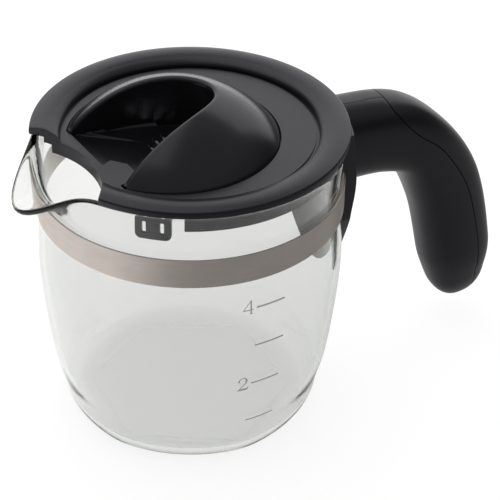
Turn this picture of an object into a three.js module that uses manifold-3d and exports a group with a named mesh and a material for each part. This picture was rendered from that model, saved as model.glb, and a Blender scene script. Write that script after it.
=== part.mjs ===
// A glass coffee carafe for four cups, in millimetres, standing on Z = 0 with its axis on Z.
// The handle points along +X and the spout along -X.
import * as THREE from 'three';
import { mergeVertices } from 'three/addons/utils/BufferGeometryUtils.js';
import Module from 'manifold-3d';

const wasm = await Module();
wasm.setup();

// Jug: a blown wall that swells from a six-sided base to a belly, draws in at the neck and flares to the rim
const jugHeight = 116.5;          // table to the rim
const jugWall = 2.4;              // thickness of the glass
const jugFloor = 3.6;             // thickness of the base
const floorFillet = 6;            // rounding inside, between floor and wall
const baseDraw = 11.8;            // foot of the wall, in from the belly
const baseEdge = 2.4;             // rounding under the foot
const lowerDraw = 7.1;            // low on the wall, in from the belly
const lowerHeight = 12;           // height of that place
const middleDraw = 3;             // where the wall steepens, in from the belly
const middleHeight = 30;          // height of that place
const bellyRadius = 56.4;         // widest place
const bellyHeight = 64;           // height of the widest place
const neckDraw = 1.3;             // neck under the band, in from the belly
const rimFlare = 1.2;             // rim beyond the neck
const hexHeight = 34;             // height where the six sides have faded out
const hexOutside = 0.16;          // share of a full hexagon, outside
const hexInside = 1;              // share of a full hexagon, inside
const hexSoftness = 12;           // higher makes sharper corners

// Spout: the rim is drawn out and down to a beak
const spoutReach = 11.9;          // how far the beak comes out
const spoutDroop = 12.5;          // how far the beak drops below the rim
const spoutDepth = 18.5;          // how far below the rim it starts
const spoutHalfAngle = 40;        // half its width round the rim, degrees
const spoutPower = 5;             // sharpness of the beak

// Neck band: a steel strip whose two ends turn out and hook round the clamp nut
const bandDrop = 22.9;            // rim to the middle of the band
const bandWidth = 11.4;           // height of the strip
const bandThickness = 0.7;        // sheet
const bandFit = 0.4;              // clearance to the glass
const lugSpread = 5.6;            // half the way between the ends
const hookLength = 2.4;           // how far each end turns in

// Clamp: a screw along X pulls the nut and the hooks towards the handle
const nutStandoff = 4.7;          // band to the nut
const nutThickness = 2.6;         // along the screw
const nutHeight = 9;              // along Z
const screwRadius = 1.9;          // shank
const screwOverrun = 3.5;         // tip past the nut
const screwHeadRadius = 3.8;      // head
const screwHeadHeight = 2.4;      // head, along X
const screwSlotWidth = 1;         // driver slot
const screwSlotDepth = 1.2;       // driver slot
const washerRadius = 4.6;         // outside
const washerThickness = 0.8;      // along X
const clampFit = 0.3;             // clearance inside the clamp

// Handle: a saddle on the glass, a neck under the lid and a grip that hangs free
const saddleThickness = 5.9;      // wall over the band
const saddleEdge = 1;             // wall at its lower end and, doubled, at its top
const saddleSwell = 24;           // below the band's middle, to where the thick wall has run out
const saddleFit = 0.3;            // clearance to glass and band
const saddleDrop = 2.3;           // rim to its flat top
const saddleHalfWidth = 27;       // half its width above the waist
const saddleWaist = 15.6;         // below the band's middle, where the sides turn in
const saddleLength = 50.2;        // below the band's middle, to the lower end
const saddleTipHalfWidth = 11;    // half the width that rounds the lower end
const handleReach = 66.3;         // jug's neck to the middle of the free end
const handleDrop = 74.1;          // band's middle to the last section of the grip
const neckHalfDepth = 16.8;       // section at the jug, half its height
const bendHalfDepth = 13.8;       // section at the bend
const gripHalfDepth = 15.2;       // section of the grip
const endHalfDepth = 13.6;        // last section
const neckHalfWidth = 12.6;       // neck and bend, half the width across Y
const gripHalfWidth = 12;         // grip
const endHalfWidth = 11;          // last section
const tipLength = 11.5;           // round end past the last section
const handleWall = 2.6;           // wall of the hollow grip
const handleSquareness = 2.4;     // 2 is an ellipse, more is squarer
const webGap = 1.1;               // hooks to the wall that takes the screw
const webThickness = 4;           // that wall, along X
const seamGap = 0.3;              // between body and cover

// Lid cover: a crowned rim on the glass, a sunk disc and a round bite over the spout
const lidOverhang = 1.2;          // rim beyond the glass
const lidFit = 0.3;               // lid to glass, and funnel to cover
const rimThickness = 2.7;         // outer edge of the rim
const rimEdge = 0.6;              // chamfer of that edge
const rimCrown = 0.9;             // rise of the rim's middle
const rimWidth = 11.1;            // outside to the inner wall
const discSink = 3;               // disc below the rim's edge
const discThickness = 2;          // plate
const grooveWidth = 1.2;          // round the disc
const grooveDepth = 0.5;          // round the disc
const lidTurn = 4.3;              // the lid as it was put on, degrees from the spout
const biteRadius = 38;            // round cut over the spout
const biteOffset = 20.8;          // its centre, beyond the rim
const biteWall = 2.2;             // wall along the cut
const biteWallDepth = 5.7;        // below the lid's seat
const skirtFit = 0.5;             // skirt to the inside of the glass
const skirtWall = 2;              // thickness
const skirtDepth = 7.7;           // below the lid's seat
const skirtHalfAngle = 122.3;     // half its run from the lid's middle line, degrees
const loopAngle = 134;            // place of a snap loop, degrees from the lid's middle line
const loopHalfWidth = 6.2;        // half its width
const loopDepth = 12.3;           // below the lid's seat
const loopPost = 2.6;             // side posts, and half the middle one
const loopBar = 2.4;              // bottom bar
const windowHeight = 3.6;         // two windows in each loop
const bowlFront = 38;             // straight front edge over the drip bowl, along -X
const tabStart = 3.3;             // near corner of the tab on that edge, from the middle line
const tabReach = 7.9;             // tab, over the bowl
const tabSlant = 4.9;             // its slanting corner
const ledgeThickness = 1.2;       // front edge and tab

// Lid funnel: a round hood, open to the spout, over a drip bowl with a slotted drain
const hoodOffset = 7;             // hood's centre, along -X
const hoodRadius = 38.2;          // at the disc
const hoodHeight = 18.5;          // of the full dome above the disc
const hoodWall = 2.2;             // thickness
const hoodFit = 0.5;              // hood to the hole in the disc
const flangeWidth = 3;            // under the disc
const flangeThickness = 1.8;      // under the disc
const mouthHalfWidth = 19.6;      // half the mouth's width at its front
const mouthFront = 36.7;          // where its sides start to close, along -X
const mouthShoulder = 17.7;       // half the width that the sides head for
const mouthMiddle = 19;           // place of that, along -X
const mouthRound = 13.1;          // half the width that rounds the far end
const mouthApex = 8.1;            // far end, along +X
const mouthWall = 3;              // wall round the mouth
const lipRadius = 1.4;            // rounding of the mouth's lip
const bowlThickness = 4;          // floor of the drip bowl
const bowlDish = 1.7;             // floor falls to the drain
const dishRadius = 13;            // where the fall starts, from the drain's centre
const drainOffset = 5;            // drain's centre, along -X
const drainRadius = 8.6;          // drain
const slotWidth = 1.9;            // slots across the drain
const slotPitch = 3.6;            // slot to slot
const slotCount = 5;              // number of slots

const degree = Math.PI / 180;
const turnSteps = 56;             // number of facets round a turned piece

// Places that follow from the sizes above
const bandHeight = jugHeight - bandDrop;
const bandLow = bandHeight - bandWidth / 2;
const bandHigh = bandHeight + bandWidth / 2;
const baseRadius = bellyRadius - baseDraw;
const neckRadius = bellyRadius - neckDraw;
const rimRadius = neckRadius + rimFlare;
const lidSeat = jugHeight + lidFit;
const rimTop = lidSeat + rimThickness;
const discTop = rimTop - discSink;
const discBottom = discTop - discThickness;
const lidRadius = rimRadius + lidOverhang;
const rimInner = lidRadius - rimWidth;
const skirtRadius = neckRadius - jugWall - skirtFit;
const biteCentre = lidRadius + biteOffset;

// The jug's outside from base to rim
const jugCurve = new THREE.SplineCurve([
  new THREE.Vector2(baseRadius, baseEdge),
  new THREE.Vector2(bellyRadius - lowerDraw, lowerHeight),
  new THREE.Vector2(bellyRadius - middleDraw, middleHeight),
  new THREE.Vector2(bellyRadius, bellyHeight),
  new THREE.Vector2(neckRadius, bandHeight),
  new THREE.Vector2(rimRadius, jugHeight - jugWall / 2),
]).getPoints(200);

function jugRadiusAt(height) {
  const k = jugCurve.findIndex((point) => point.y >= height);
  if (k < 1) return jugCurve.at(k).x;
  const [low, high] = [jugCurve[k - 1], jugCurve[k]];
  return THREE.MathUtils.mapLinear(height, low.y, high.y, low.x, high.x);
}

// Rows of facets: closer together near the base, one at each edge of the band
const belowBand = Array.from({ length: 9 }, (_, k) => baseEdge + (bandLow - baseEdge) * (k / 8) ** 1.4);
const aboveBand = [0, 1, 2, 3].map((k) => THREE.MathUtils.lerp(bandHigh, jugHeight - jugWall / 2, k / 3));
const jugLine = [...belowBand, ...aboveBand].map((z) => new THREE.Vector2(jugRadiusAt(z), z));

// A stretch of that line, moved out by grow, as pairs of radius and height
function jugStretch(low, high, grow) {
  const between = jugLine.filter(({ y }) => y > low && y < high).map(({ y }) => y);
  return [low, ...between, high].map((z) => [jugRadiusAt(z) + grow, z]);
}

// The clamp's places along X, from the band outwards
const bandInner = Math.max(jugRadiusAt(bandLow), jugRadiusAt(bandHigh)) + bandFit;
const bandOuter = bandInner + bandThickness;
const nutBack = bandOuter + nutStandoff;
const nutFace = nutBack + nutThickness;
const hookFace = nutFace + clampFit;
const lugReach = hookFace + bandThickness;
const webStart = lugReach + webGap;
const washerSeat = webStart + webThickness + clampFit;
const headSeat = washerSeat + washerThickness + clampFit;

// Three.js geometry to a solid and back

function weld(geometry) {
  const bare = geometry.clone();
  for (const name of Object.keys(bare.attributes)) {
    if (name !== 'position') bare.deleteAttribute(name);
  }
  const merged = mergeVertices(bare, 1e-4);
  const index = merged.index.array;
  const kept = [];
  for (let i = 0; i < index.length; i += 3) {
    const [a, b, c] = [index[i], index[i + 1], index[i + 2]];
    if (a !== b && b !== c && c !== a) kept.push(a, b, c);
  }
  merged.setIndex(kept);
  return merged;
}

function toSolid(geometry) {
  const welded = weld(geometry);
  return new wasm.Manifold(new wasm.Mesh({
    numProp: 3,
    vertProperties: new Float32Array(welded.attributes.position.array),
    triVerts: new Uint32Array(welded.index.array),
  }));
}

function toGeometry(solid) {
  const mesh = solid.getMesh();
  const geometry = new THREE.BufferGeometry();
  geometry.setAttribute('position', new THREE.BufferAttribute(mesh.vertProperties, 3));
  geometry.setIndex(new THREE.BufferAttribute(mesh.triVerts, 1));
  const faceted = geometry.toNonIndexed();
  faceted.computeVertexNormals();
  return faceted;
}

// Building blocks

function turned(points, segments = turnSteps) {
  return new THREE.LatheGeometry(points, segments).rotateX(Math.PI / 2);
}

function turnedSolid(pairs, x = 0, segments = turnSteps) {
  const points = pairs.map(([r, z]) => new THREE.Vector2(r, z));
  return toSolid(turned(points, segments).translate(x, 0, 0));
}

// A prism that stands on Z = low
function prism(shape, low, high, curveSegments = 24) {
  const settings = { depth: high - low, bevelEnabled: false, curveSegments };
  return toSolid(new THREE.ExtrudeGeometry(shape, settings).translate(0, 0, low));
}

// A prism across the part: the shape's x and y become X and Z, and it runs along Y
function crossPrism(shape, halfDepth, curveSegments = 24) {
  const settings = { depth: 2 * halfDepth, bevelEnabled: false, curveSegments };
  const geometry = new THREE.ExtrudeGeometry(shape, settings).translate(0, 0, -halfDepth);
  return toSolid(geometry.rotateX(Math.PI / 2));
}

// A box, turned about the jug's axis
function block(x0, x1, y0, y1, z0, z1, turn = 0) {
  const geometry = new THREE.BoxGeometry(x1 - x0, y1 - y0, z1 - z0);
  geometry.translate((x0 + x1) / 2, (y0 + y1) / 2, (z0 + z1) / 2);
  return toSolid(geometry.rotateZ(turn));
}

function upright(radius, x, low, high, segments = turnSteps) {
  const geometry = new THREE.CylinderGeometry(radius, radius, high - low, segments);
  return toSolid(geometry.rotateX(Math.PI / 2).translate(x, 0, (low + high) / 2));
}

// A round bar along X
function bar(radius, x0, x1, z, segments = 24) {
  const geometry = new THREE.CylinderGeometry(radius, radius, x1 - x0, segments);
  return toSolid(geometry.rotateZ(Math.PI / 2).translate((x0 + x1) / 2, 0, z));
}

// A closed skin over rings of equal count, with a fan at each end
function loft(rings) {
  const count = rings[0].length;
  const points = rings.flat();
  const faces = [];
  rings.slice(1).forEach((ring, k) => {
    for (let i = 0; i < count; i += 1) {
      const a = k * count + i;
      const b = k * count + (i + 1) % count;
      faces.push(a, a + count, b, b, a + count, b + count);
    }
  });
  const last = (rings.length - 1) * count;
  for (let i = 1; i < count - 1; i += 1) {
    faces.push(0, i, i + 1, last, last + i + 1, last + i);
  }
  const geometry = new THREE.BufferGeometry().setFromPoints(points);
  geometry.setIndex(faces);
  return toSolid(geometry);
}

// Part of a round wall about the jug's axis
function arcWall(radius, wall, middle, halfAngle, low, high, curveSegments) {
  const shape = new THREE.Shape();
  shape.absarc(0, 0, radius, middle - halfAngle, middle + halfAngle, false);
  shape.absarc(0, 0, radius - wall, middle + halfAngle, middle - halfAngle, true);
  return prism(shape, low, high, curveSegments);
}

function bothSides(make) {
  return make(1).add(make(-1));
}

// Jug

// The wall's section: each point is a place on the middle of the wall and an offset to its skin
function jugSection() {
  const half = jugWall / 2;
  const plain = (r, z, inside = false) => ({ r, z, outR: 0, outZ: 0, inside });
  const section = [plain(0, 0), plain((baseRadius - baseEdge) / 2, 0)];
  for (const turn of [0, 30, 60]) {
    const r = baseRadius - baseEdge + baseEdge * Math.sin(turn * degree);
    section.push(plain(r, baseEdge - baseEdge * Math.cos(turn * degree)));
  }
  for (const { x, y } of jugLine.slice(0, -1)) {
    section.push({ r: x - half, z: y, outR: half, outZ: 0, inside: false });
  }
  for (let turn = 0; turn <= 180; turn += 45) {
    const outR = half * Math.cos(turn * degree);
    const outZ = half * Math.sin(turn * degree);
    section.push({ r: rimRadius - half, z: jugHeight - half, outR, outZ, inside: turn > 90 });
  }
  const filletTop = jugFloor + floorFillet;
  const upper = jugLine.slice(0, -1).filter((point) => point.y > filletTop + half);
  for (const { x, y } of upper.reverse()) {
    section.push({ r: x - half, z: y, outR: -half, outZ: 0, inside: true });
  }
  const wallFoot = jugRadiusAt(filletTop) - jugWall;
  for (const turn of [0, 30, 60, 90]) {
    const r = wallFoot - floorFillet + floorFillet * Math.cos(turn * degree);
    section.push(plain(r, filletTop - floorFillet * Math.sin(turn * degree), true));
  }
  section.push(plain((wallFoot - floorFillet) / 2, jugFloor, true), plain(0, jugFloor, true));
  return section;
}

// A hexagon with soft corners, as a share of its corner radius, with flats towards the spout and handle
function hexagon(angle) {
  let corner = 0;
  let here = 0;
  for (let k = 0; k < 6; k += 1) {
    here += Math.max(Math.cos(angle - k * 60 * degree), 0) ** hexSoftness;
    corner += Math.max(Math.cos((30 - k * 60) * degree), 0) ** hexSoftness;
  }
  return (here / corner) ** (-1 / hexSoftness);
}

// Every point of the wall leans with the beak, so the glass keeps its thickness there
function jugSolid() {
  const section = jugSection();
  const outline = section.map(({ r, z, outR, outZ }) => new THREE.Vector2(r + outR, z + outZ));
  const geometry = turned(outline);
  const position = geometry.attributes.position;
  const columns = position.count / section.length - 1;
  const spoutFoot = jugHeight - spoutDepth;
  const spoutRise = spoutDepth - jugWall / 2;
  const crowding = 0.45;
  for (let i = 0; i < position.count; i += 1) {
    const { r, z, outR, outZ, inside } = section[i % section.length];
    const column = Math.floor(i / section.length) % columns;
    const even = column / columns * 2 * Math.PI;
    const angle = even + crowding * Math.sin(even);
    const fade = Math.max(1 - z / hexHeight, 0) ** 2;
    const flat = 1 - (inside ? hexInside : hexOutside) * fade * (1 - hexagon(angle));
    const aside = Math.abs(angle - Math.PI) / (spoutHalfAngle * degree);
    const beak = aside < 1 ? Math.cos(aside * Math.PI / 2) ** spoutPower : 0;
    const climb = Math.max((z - spoutFoot) / spoutRise, 0);
    const lean = Math.atan2(2 * spoutReach * beak * climb, spoutRise - 2 * spoutDroop * beak * climb);
    const radius = r * flat + spoutReach * beak * climb ** 2
      + outR * Math.cos(lean) + outZ * Math.sin(lean);
    const height = z - spoutDroop * beak * climb ** 2 - outR * Math.sin(lean) + outZ * Math.cos(lean);
    position.setXYZ(i, radius * Math.cos(angle), radius * Math.sin(angle), height);
  }
  return toSolid(geometry);
}

// Neck band and its clamp

function bandSolid() {
  const gapAngle = Math.asin(lugSpread / bandInner);
  const outerAngle = Math.asin((lugSpread + bandThickness) / bandOuter);
  const shape = new THREE.Shape();
  shape.absarc(0, 0, bandOuter, outerAngle, 2 * Math.PI - outerAngle, false);
  const half = (side) => [
    [lugReach, side * (lugSpread + bandThickness)],
    [lugReach, side * (lugSpread - hookLength)],
    [hookFace, side * (lugSpread - hookLength)],
    [hookFace, side * lugSpread],
  ];
  half(-1).forEach(([x, y]) => shape.lineTo(x, y));
  shape.absarc(0, 0, bandInner, 2 * Math.PI - gapAngle, gapAngle, true);
  half(1).reverse().forEach(([x, y]) => shape.lineTo(x, y));
  return prism(shape, bandLow, bandHigh, 56);
}

function nutSolid() {
  const halfSpread = lugSpread - clampFit;
  const plate = block(nutBack, nutFace, -halfSpread, halfSpread,
    bandHeight - nutHeight / 2, bandHeight + nutHeight / 2);
  return plate.subtract(bar(screwRadius + clampFit, nutBack - 1, nutFace + 1, bandHeight));
}

function washerSolid() {
  const ring = bar(washerRadius, washerSeat, washerSeat + washerThickness, bandHeight);
  const bore = bar(screwRadius + clampFit, washerSeat - 1, washerSeat + washerThickness + 1, bandHeight);
  return ring.subtract(bore);
}

function screwSolid() {
  const headEnd = headSeat + screwHeadHeight;
  const shank = bar(screwRadius, nutBack - screwOverrun, headSeat + screwHeadHeight / 2, bandHeight);
  const head = bar(screwHeadRadius, headSeat, headEnd, bandHeight);
  const slot = block(headEnd - screwSlotDepth, headEnd + 1, -screwHeadRadius, screwHeadRadius,
    bandHeight - screwSlotWidth / 2, bandHeight + screwSlotWidth / 2);
  return shank.add(head).subtract(slot);
}

// Handle

// Sections down the handle: shares of its reach and drop, half the depth and half the width
const handleSections = [
  [0.044, -0.046, neckHalfDepth, neckHalfWidth],
  [0.413, -0.011, (neckHalfDepth + gripHalfDepth) / 2, neckHalfWidth],
  [0.64, 0.109, bendHalfDepth, neckHalfWidth],
  [0.834, 0.378, gripHalfDepth, gripHalfWidth],
  [0.968, 0.82, gripHalfDepth, gripHalfWidth],
  [1, 1, endHalfDepth, endHalfWidth],
];
const handleSpine = new THREE.CatmullRomCurve3(handleSections.map(([reach, drop]) => new THREE.Vector3(
  neckRadius + reach * handleReach, 0, bandHeight - drop * handleDrop)), false, 'centripetal');
const handleSize = new THREE.SplineCurve(
  handleSections.map(([, , depth, width]) => new THREE.Vector2(depth, width)));
const hollowStart = 1 / (handleSections.length - 1);

function handleFrame(t) {
  const along = handleSpine.getTangent(t);
  const outward = new THREE.Vector3(-along.z, 0, along.x);
  return { middle: handleSpine.getPoint(t), along, outward, size: handleSize.getPoint(t) };
}

// One section of the grip at share t of its length, drawn in by inset and shrunk for a round end
function handleRing(t, inset, shrink = 1, forward = 0, sides = 18) {
  const { middle, along, outward, size } = handleFrame(t);
  const power = 2 / handleSquareness;
  const swell = (value) => Math.sign(value) * Math.abs(value) ** power * shrink;
  return Array.from({ length: sides }, (_, k) => {
    const angle = k / sides * 2 * Math.PI;
    return middle.clone()
      .addScaledVector(outward, (size.x - inset) * swell(Math.cos(angle)))
      .addScaledVector(new THREE.Vector3(0, 1, 0), (size.y - inset) * swell(Math.sin(angle)))
      .addScaledVector(along, forward);
  });
}

// The free end rounds off past the last section
function gripSolid(start, inset) {
  const rings = [];
  const steps = 13;
  for (let k = 0; k <= steps; k += 1) {
    rings.push(handleRing(THREE.MathUtils.lerp(start, 1, k / steps), inset));
  }
  for (const turn of [22, 42, 60, 75, 86]) {
    const forward = (tipLength - inset / 2) * Math.sin(turn * degree);
    rings.push(handleRing(1, inset, Math.cos(turn * degree) ** 0.9, forward));
  }
  return loft(rings);
}

// The seam, as places down the handle and shares of the half depth there: it crosses the top of the neck,
// drops to the side and follows the back of the grip to the free end
const seamLine = [
  [0.13, 1.7], [0.15, 0.97], [0.195, 0.56], [0.276, 0.333], [0.43, 0.313],
  [0.61, 0.345], [0.747, 0.36], [0.88, 0.34], [1, 0.29],
];

// Everything behind the seam, as a prism along Y
function seamPrism(offset) {
  const points = seamLine.map(([t, share]) => {
    const { middle, outward, size } = handleFrame(t);
    return middle.addScaledVector(outward, share * size.x);
  });
  const end = handleFrame(1);
  points.push(points.at(-1).clone().addScaledVector(end.along, 2 * tipLength));
  const line = new THREE.SplineCurve(points.map(({ x, z }) => new THREE.Vector2(x, z)));
  const steps = 30;
  const edge = line.getPoints(steps).map((point, k) => {
    const along = line.getTangent(k / steps);
    return new THREE.Vector2(point.x - along.y * offset, point.y + along.x * offset);
  });
  const farSide = end.middle.x + 3 * endHalfDepth;
  edge.push(new THREE.Vector2(farSide, edge.at(-1).y), new THREE.Vector2(farSide, edge[0].y));
  return crossPrism(new THREE.Shape(edge), 2 * neckHalfWidth);
}

function shellSolid() {
  return gripSolid(0, 0).subtract(gripSolid(hollowStart, handleWall));
}

// A shield on the jug's side: a skin that swells over the band, cut to an outline seen along X
function saddleSolid() {
  const top = jugHeight - saddleDrop;
  const waist = bandHeight - saddleWaist;
  const tip = bandHeight - saddleLength;
  const turn = THREE.MathUtils.lerp(waist, tip, 0.46);
  const outline = new THREE.Shape();
  outline.moveTo(saddleHalfWidth, top);
  outline.lineTo(saddleHalfWidth, waist);
  outline.bezierCurveTo(0.8 * saddleHalfWidth, turn, saddleTipHalfWidth, tip, 0, tip);
  outline.bezierCurveTo(-saddleTipHalfWidth, tip, -0.8 * saddleHalfWidth, turn, -saddleHalfWidth, waist);
  outline.lineTo(-saddleHalfWidth, top);
  const depth = bellyRadius + 2 * saddleThickness;
  const settings = { depth, bevelEnabled: false, curveSegments: 9 };
  const shield = toSolid(new THREE.ExtrudeGeometry(outline, settings)
    .rotateX(Math.PI / 2).rotateZ(Math.PI / 2));
  const low = tip - saddleEdge;
  const fade = bandHeight - saddleSwell;
  const skin = new THREE.SplineCurve([
    new THREE.Vector2(jugRadiusAt(low) + saddleFit + saddleEdge, low),
    new THREE.Vector2(jugRadiusAt(fade) + saddleFit + saddleEdge, fade),
    new THREE.Vector2(neckRadius + saddleFit + saddleThickness, bandLow),
    new THREE.Vector2(neckRadius + saddleFit + saddleThickness, bandHeight),
    new THREE.Vector2(rimRadius + saddleFit + 2 * saddleEdge, jugHeight),
  ]).getPoints(12).map(({ x, y }) => [x, y]);
  return turnedSolid([[0, low], ...skin, [0, jugHeight]]).intersect(shield);
}

// What the handle keeps clear of: the jug, and the band round its neck
function clearSolid() {
  const low = bandHeight - 2 * saddleLength;
  const high = 2 * jugHeight;
  const step = bandOuter + saddleFit;
  return turnedSolid([
    [0, low], ...jugStretch(low, bandLow - saddleFit, saddleFit),
    [step, bandLow - saddleFit], [step, bandHigh + saddleFit],
    ...jugStretch(bandHigh + saddleFit, high, saddleFit), [0, high],
  ]);
}

function handleBodySolid() {
  const pocketSide = lugSpread + bandThickness + clampFit;
  const pocket = block(0, lugReach + clampFit, -pocketSide, pocketSide,
    bandLow - clampFit, bandHigh + clampFit);
  const webEnd = webStart + webThickness;
  const screwHole = bar(screwRadius + clampFit, 0, webEnd + 1, bandHeight);
  const headRoom = bar(washerRadius + clampFit, webEnd, handleFrame(hollowStart).middle.x, bandHeight);
  return shellSolid().subtract(seamPrism(-seamGap / 2)).add(saddleSolid())
    .subtract(clearSolid()).subtract(pocket).subtract(screwHole).subtract(headRoom);
}

function handleCoverSolid() {
  return shellSolid().intersect(seamPrism(seamGap / 2));
}

// Lid cover

function bite(extra, low, high) {
  return upright(biteRadius + extra, -biteCentre, low, high, 64);
}

function coverPlate() {
  const crown = new THREE.QuadraticBezierCurve(
    new THREE.Vector2(lidRadius - rimEdge, rimTop),
    new THREE.Vector2((lidRadius + rimInner) / 2, rimTop + 2 * rimCrown),
    new THREE.Vector2(rimInner + discSink, rimTop)).getPoints(4);
  const inner = new THREE.QuadraticBezierCurve(
    new THREE.Vector2(rimInner + discSink, rimTop),
    new THREE.Vector2(rimInner, rimTop - rimCrown),
    new THREE.Vector2(rimInner, discTop)).getPoints(3).slice(1);
  return turnedSolid([
    [0, discBottom], [skirtRadius, discBottom], [skirtRadius, lidSeat],
    [lidRadius - rimEdge, lidSeat], [lidRadius, lidSeat + rimEdge], [lidRadius, rimTop - rimEdge],
    ...[...crown, ...inner].map(({ x, y }) => [x, y]),
    [rimInner, discTop - grooveDepth], [rimInner - grooveWidth, discTop - grooveDepth],
    [rimInner - grooveWidth, discTop], [0, discTop],
  ]);
}

function skirtSolid() {
  return arcWall(skirtRadius, skirtWall, 0, skirtHalfAngle * degree,
    lidSeat - skirtDepth, discTop - discThickness / 2, 40);
}

// A snap loop with two windows and a middle post
function loopSolid(side) {
  const turn = side * loopAngle * degree;
  const low = lidSeat - loopDepth;
  const windowLow = low + loopBar;
  let loop = arcWall(skirtRadius, skirtWall, turn, loopHalfWidth / skirtRadius,
    low, discTop - discThickness / 2, 8);
  for (const hand of [-1, 1]) {
    const ends = [hand * loopPost, hand * (loopHalfWidth - loopPost)].sort((a, b) => a - b);
    loop = loop.subtract(block(skirtRadius - 2 * skirtWall, skirtRadius + skirtWall,
      ends[0], ends[1], windowLow, windowLow + windowHeight, turn));
  }
  return loop;
}

function biteWallSolid() {
  const low = lidSeat - biteWallDepth;
  const inside = upright(skirtRadius, 0, low, (discBottom + discTop) / 2);
  return bite(biteWall, low - 1, discTop + 1).intersect(inside).subtract(bite(0, low - 2, discTop + 2));
}

// A thin ledge with a straight edge in front of the drip bowl, and a tab on its near side
function ledgeSolid() {
  const edge = (points) => new THREE.Shape(points.map(([x, y]) => new THREE.Vector2(x - bowlFront, y)));
  const strip = edge([
    [-tabReach, -mouthHalfWidth], [0, -mouthHalfWidth], [0, mouthHalfWidth], [-tabReach, mouthHalfWidth],
  ]);
  const tab = edge([
    [-tabReach / 2, -mouthHalfWidth], [tabReach, -mouthHalfWidth], [tabReach, -tabStart - tabSlant],
    [tabReach - tabSlant * 0.8, -tabStart], [0, -tabStart - tabSlant / 3], [-tabReach / 2, -tabStart - tabSlant],
  ]);
  const low = discTop - ledgeThickness;
  return prism(strip, low, discTop + 2).add(prism(tab, low, discTop + 2))
    .intersect(mouthPrism(-hoodFit, low - 1, discTop + 3));
}

function lidCoverSolid() {
  const opening = upright(hoodRadius + hoodFit, -hoodOffset, discBottom - 5, discTop + 5)
    .subtract(bite(biteWall, discBottom - 6, discTop + 6))
    .subtract(ledgeSolid());
  return coverPlate().add(skirtSolid()).subtract(opening)
    .add(biteWallSolid()).add(bothSides(loopSolid))
    .subtract(bite(0, lidSeat - 2 * loopDepth, rimTop + 10));
}

// Lid funnel

const ballRadius = (hoodRadius ** 2 + hoodHeight ** 2) / (2 * hoodHeight);
const ballHeight = discTop + hoodHeight - ballRadius;
const flangeTop = discBottom - lidFit;
const flangeLow = flangeTop - flangeThickness;

function domeLine(radius, foot, steps) {
  const start = Math.asin(Math.min((foot - ballHeight) / radius, 1));
  return Array.from({ length: steps + 1 }, (_, k) => {
    const angle = THREE.MathUtils.lerp(start, Math.PI / 2, k / steps);
    return [k === steps ? 0 : radius * Math.cos(angle), ballHeight + radius * Math.sin(angle)];
  });
}

// The mouth seen from above, moved out by grow: from one end of its front, round the far end, to the other
function mouthLine(grow) {
  const side = mouthHalfWidth + grow;
  const shoulder = mouthShoulder + grow;
  const round = mouthRound + grow;
  const apex = mouthApex + grow;
  const half = (hand) => new THREE.CubicBezierCurve(
    new THREE.Vector2(-mouthFront, hand * side), new THREE.Vector2(-mouthMiddle, hand * shoulder),
    new THREE.Vector2(apex, hand * round), new THREE.Vector2(apex, 0)).getPoints(12);
  const front = (hand) => new THREE.Vector2(-hoodOffset - hoodRadius, hand * side);
  return [front(-1), ...half(-1), ...half(1).reverse().slice(1), front(1)];
}

function mouthPrism(grow, low, high) {
  return prism(new THREE.Shape(mouthLine(grow)), low, high);
}

// The dome's height over a point of the plan, for a ball of that radius
function domeHeight(radius, { x, y }) {
  return ballHeight + Math.sqrt(Math.max(radius ** 2 - (x + hoodOffset) ** 2 - y ** 2, 0));
}

// The wall round the mouth: each section goes up inside the hood, over a round lip and down to the bowl
function mouthWallSolid(low) {
  const arc = [45, 90, 135, 180].map((turn) => ({
    grow: lipRadius + lipRadius * Math.cos(turn * degree),
    rise: lipRadius * Math.sin(turn * degree),
  }));
  const places = [{ grow: mouthWall }, { grow: mouthWall, rise: -lipRadius }, ...arc, { grow: 0 }];
  const crest = mouthLine(lipRadius);
  const lines = places.map(({ grow }) => mouthLine(grow));
  return loft(crest.map((point, k) => {
    const middle = Math.max(domeHeight(ballRadius - lipRadius, point), low + 2 * lipRadius);
    return places.map(({ rise }, j) => new THREE.Vector3(
      lines[j][k].x, lines[j][k].y, rise === undefined ? low : middle + rise));
  }));
}

function drainSolid(low, high) {
  const well = upright(drainRadius, -drainOffset, low, high, 32);
  let slots = null;
  for (let k = 0; k < slotCount; k += 1) {
    const x = -drainOffset + (k - (slotCount - 1) / 2) * slotPitch;
    const slot = block(x - slotWidth / 2, x + slotWidth / 2, -drainRadius, drainRadius, low, high);
    slots = slots ? slots.add(slot) : slot;
  }
  return slots.intersect(well);
}

function lidFunnelSolid() {
  const outer = domeLine(ballRadius, discTop, 7);
  const under = domeLine(ballRadius - hoodWall, discTop - hoodWall, 4).reverse();
  const inside = hoodRadius - hoodWall;
  const flange = hoodRadius + flangeWidth;
  const shell = turnedSolid([
    ...under, [inside, flangeLow], [flange, flangeLow],
    [flange, flangeTop], [hoodRadius, flangeTop], ...outer,
  ], -hoodOffset);
  const bowlTop = discTop - ledgeThickness - lidFit;
  const bowlLow = bowlTop - bowlThickness;
  const high = discTop + 2 * hoodHeight;
  const filled = turnedSolid([[0, bowlLow], [hoodRadius, bowlLow], ...outer], -hoodOffset);
  const dish = turnedSolid([
    [0, bowlTop - bowlDish], [dishRadius, bowlTop], [dishRadius, bowlTop + 1], [0, bowlTop + 1],
  ], -drainOffset, 32);
  return shell
    .subtract(mouthPrism(1.4 * lipRadius, bowlTop, high))
    .add(mouthWallSolid(bowlLow).intersect(filled))
    .add(filled.intersect(mouthPrism(mouthWall / 2, bowlLow - 1, bowlTop)))
    .subtract(dish)
    .subtract(drainSolid(bowlLow - 1, bowlTop + 1))
    .intersect(upright(skirtRadius - skirtWall - lidFit, 0, bowlLow - 1, high))
    .subtract(bite(biteWall + lidFit, bowlLow - 2, high));
}

// Materials

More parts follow.
